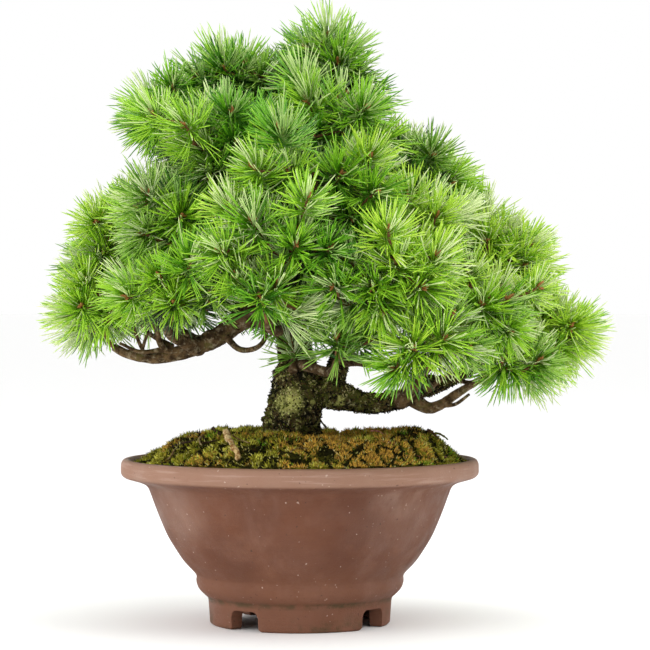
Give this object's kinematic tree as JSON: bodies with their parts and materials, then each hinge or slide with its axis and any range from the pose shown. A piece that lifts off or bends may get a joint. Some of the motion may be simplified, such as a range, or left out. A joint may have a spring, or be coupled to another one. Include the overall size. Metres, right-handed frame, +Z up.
{
  "type": "potted bonsai tree",
  "caption": "Upright white pine bonsai with spreading boughs and clustered needle sprays, growing from a mossy mound in a round flared clay pot with a notched foot ring.",
  "frame": {"origin": "on the surface that the pot stands on, under the middle of the whole plant; the pot's own axis is 17.5 mm to the left of it", "axes": "+Z up, along the trunk; the front of the tree faces -Y; +X is to the right as seen from the front"},
  "size_m": [0.4057, 0.338, 0.4332],
  "materials": {
    "fired_clay": "unglazed reddish-brown stoneware, matte",
    "moss": "olive and golden-brown moss over dark soil, rough",
    "old_bark": "dark plated bark with pale green lichen, very rough",
    "bough_bark": "grey-brown young bark, rough",
    "needles": "fresh green needles with a faint pale bloom"
  },
  "bodies": {
    "root": {"pot": "fired_clay", "soil_and_moss": "moss", "trunk": "old_bark", "bough_leader": "bough_bark", "bough_right_low": "bough_bark", "bough_right_lower_arm": "bough_bark", "bough_right_rising_arm": "bough_bark", "bough_left_low": "bough_bark", "bough_left_rising_arm": "bough_bark", "bough_left_back_arm": "bough_bark", "bough_top_left": "bough_bark", "bough_top_left_front": "bough_bark", "bough_left_upper": "bough_bark", "bough_mid_left": "bough_bark", "bough_upper_front": "bough_bark", "bough_mid_front": "bough_bark", "bough_centre_left_front": "bough_bark", "bough_low_front": "bough_bark", "bough_back_left_upper": "bough_bark", "bough_back_middle": "bough_bark", "bough_back_low_middle": "bough_bark", "bough_right_mid_front": "bough_bark", "bough_right_upper": "bough_bark", "bough_centre_right_front": "bough_bark", "bough_low_right_front": "bough_bark", "bough_back_right": "bough_bark", "bough_back_low_right": "bough_bark", "foliage_apex": "needles", "foliage_crown_front": "needles", "foliage_peak_left": "needles", "foliage_top_left": "needles", "foliage_top_left_front": "needles", "foliage_top_back": "needles", "foliage_right_shoulder": "needles", "foliage_upper_front": "needles", "foliage_right_mid_front": "needles", "foliage_mid_left": "needles", "foliage_left_upper": "needles", "foliage_mid_front": "needles", "foliage_right_upper": "needles", "foliage_left_low": "needles", "foliage_left_front": "needles", "foliage_centre_left_front": "needles", "foliage_centre_right_front": "needles", "foliage_low_centre": "needles", "foliage_low_right_front": "needles", "foliage_right_front": "needles", "foliage_right_end": "needles", "foliage_right_low": "needles", "foliage_trunk_tuft": "needles", "foliage_back_left_upper": "needles", "foliage_back_left_low": "needles", "foliage_back_middle": "needles", "foliage_back_low_middle": "needles", "foliage_back_upper_right": "needles", "foliage_back_right": "needles", "foliage_back_low_right": "needles"}
  },
  "joints": []
}
